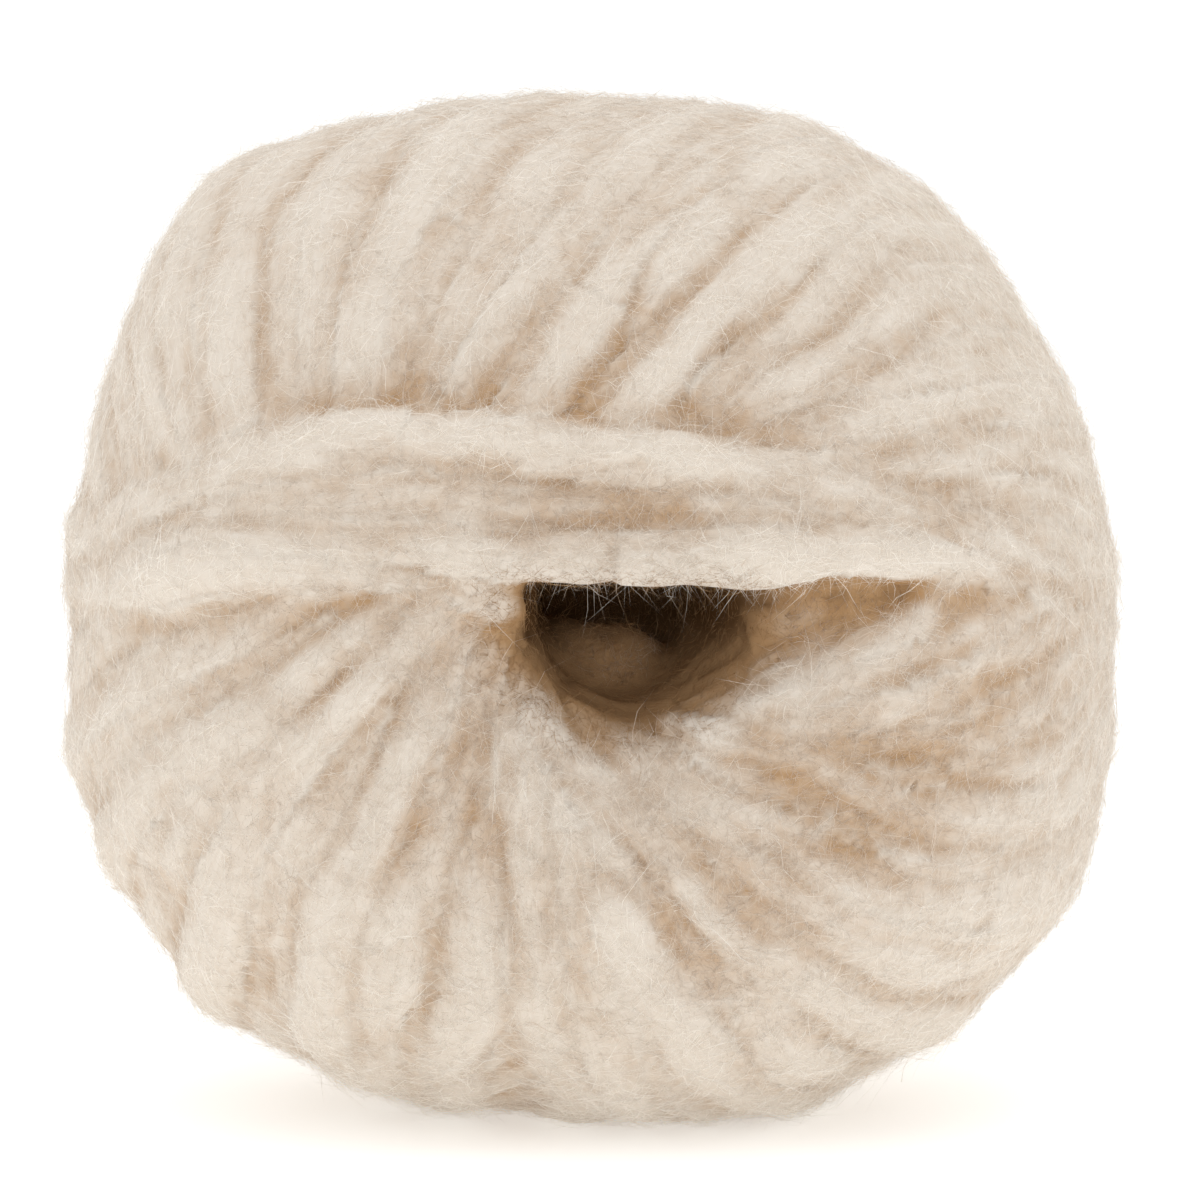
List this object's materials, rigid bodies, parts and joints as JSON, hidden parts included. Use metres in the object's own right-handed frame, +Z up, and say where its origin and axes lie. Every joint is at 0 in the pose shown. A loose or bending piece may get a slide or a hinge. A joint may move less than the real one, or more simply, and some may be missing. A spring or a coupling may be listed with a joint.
{
  "type": "yarn ball",
  "caption": "Centre-pull ball of fluffy beige alpaca yarn, wound in crossing turns round a hollow core, with a belt of last turns across its open end.",
  "frame": {"origin": "on the surface under the ball, at the middle of the ball's box", "axes": "+Z up, +Y along the hollow core from its mouth towards its closed end, +X to the right of the mouth"},
  "size_m": [0.1072, 0.0922, 0.1029],
  "materials": {
    "brushed_alpaca": "soft brushed fibre with a pale fuzzy nap, matt"
  },
  "bodies": {
    "root": {"yarn_ball": "brushed_alpaca"}
  },
  "joints": []
}
